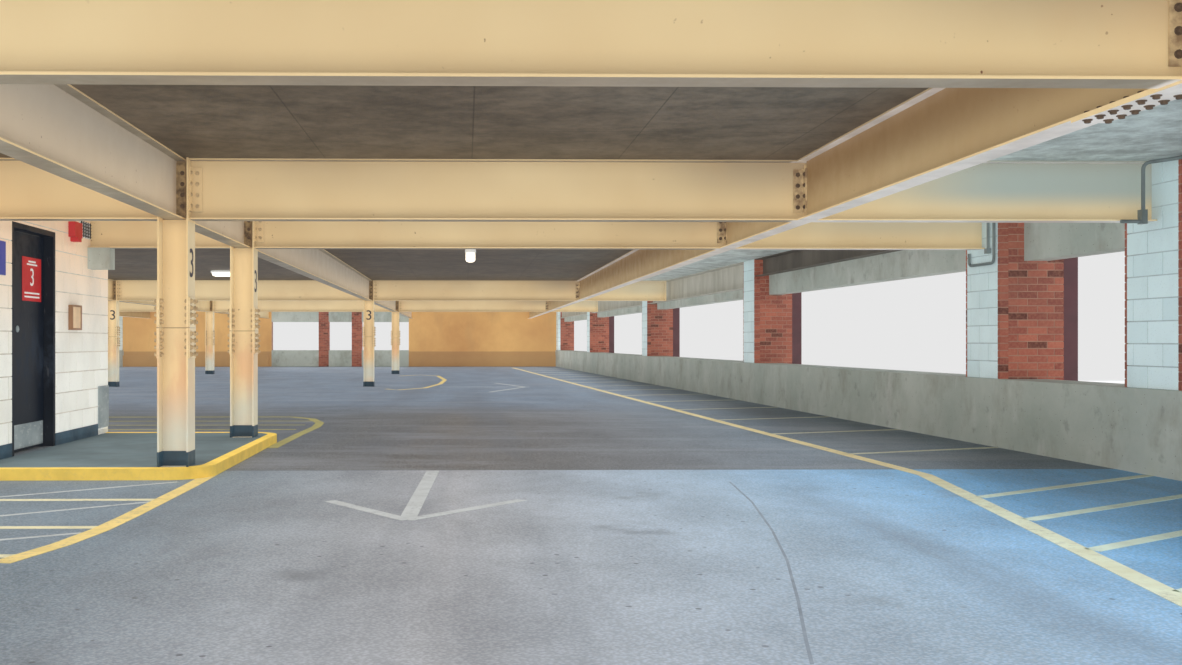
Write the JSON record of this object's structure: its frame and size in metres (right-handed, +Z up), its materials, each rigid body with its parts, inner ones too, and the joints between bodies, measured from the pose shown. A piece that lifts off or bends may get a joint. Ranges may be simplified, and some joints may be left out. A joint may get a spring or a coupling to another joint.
{
  "type": "multi storey car park scale model",
  "caption": "Steel framed parking garage at 1:2 scale, with brick piers, concrete decks and spandrels, open sides, a lobby core and one hinged lobby door.",
  "frame": {"origin": "middle of the ground slab's underside, at ground level", "axes": "+X across the aisles, +Y along the aisles towards the far end, +Z up"},
  "size_m": [12.7944, 28.675, 5.82],
  "materials": {
    "frame_steel": "cream gloss paint, aged",
    "fin_steel": "dark maroon paint",
    "deck_concrete": "worn trafficked concrete",
    "panel_concrete": "cast concrete with streaks",
    "brick": "red-brown brickwork",
    "block_paint": "painted blockwork",
    "end_wall": "painted masonry",
    "kerb": "concrete with a yellow painted edge",
    "door_paint": "black gloss paint, scuffed",
    "kick_steel": "scratched sheet",
    "guard_steel": "dull sheet",
    "lamp_jar": "ribbed glass",
    "lamp_oval": "lit diffuser"
  },
  "bodies": {
    "building": {"ground_slab": "deck_concrete", "deck_level_2": "deck_concrete", "deck_level_3": "deck_concrete", "roof_deck": "deck_concrete", "columns_level_1": "frame_steel", "columns_level_2": "frame_steel", "columns_level_3": "frame_steel", "transverse_beams_level_1": "frame_steel", "transverse_beams_level_2": "frame_steel", "transverse_beams_level_3": "frame_steel", "column_splice_plates": "frame_steel", "column_line_girders": "frame_steel", "aisle_girders": "frame_steel", "girder_straps": "frame_steel", "beam_cleats": "frame_steel", "edge_beams": "frame_steel", "beam_end_plates": "frame_steel", "pier_fins": "fin_steel", "upstands": "panel_concrete", "brick_piers_right": "brick", "brick_piers_left": "brick", "block_facings": "block_paint", "spandrel_panels_right": "panel_concrete", "spandrel_panels_left": "panel_concrete", "base_walls": "panel_concrete", "front_brick_piers": "brick", "front_spandrel_panels": "panel_concrete", "front_base_walls": "panel_concrete", "rear_walls": "end_wall", "rear_brick_piers": "brick", "rear_spandrel_panels": "panel_concrete", "rear_upstands": "end_wall", "lobby_walls_level_1": "block_paint", "lobby_walls_level_2": "block_paint", "lobby_walls_level_3": "block_paint", "lobby_walls_level_4": "block_paint", "lobby_roof": "panel_concrete", "lobby_floors": "deck_concrete", "kerb_islands": "kerb", "door_frames": "door_paint", "door_leaves_other_levels": "door_paint", "kick_plates_other_levels": "kick_steel", "bearing_blocks": "panel_concrete", "corner_guards": "guard_steel", "jar_lamps": "lamp_jar", "oval_lamps": "lamp_oval"},
    "lobby_door": {"door_leaf_level_3": "door_paint", "kick_plate_level_3": "kick_steel"}
  },
  "joints": [
    {"name": "lobby_door_hinge", "type": "hinge", "parent": "building", "child": "lobby_door", "pos_m": [0.6895, -5.978, 3.56], "axis": [0, 0, -1], "range_deg": [0, 90]}
  ]
}
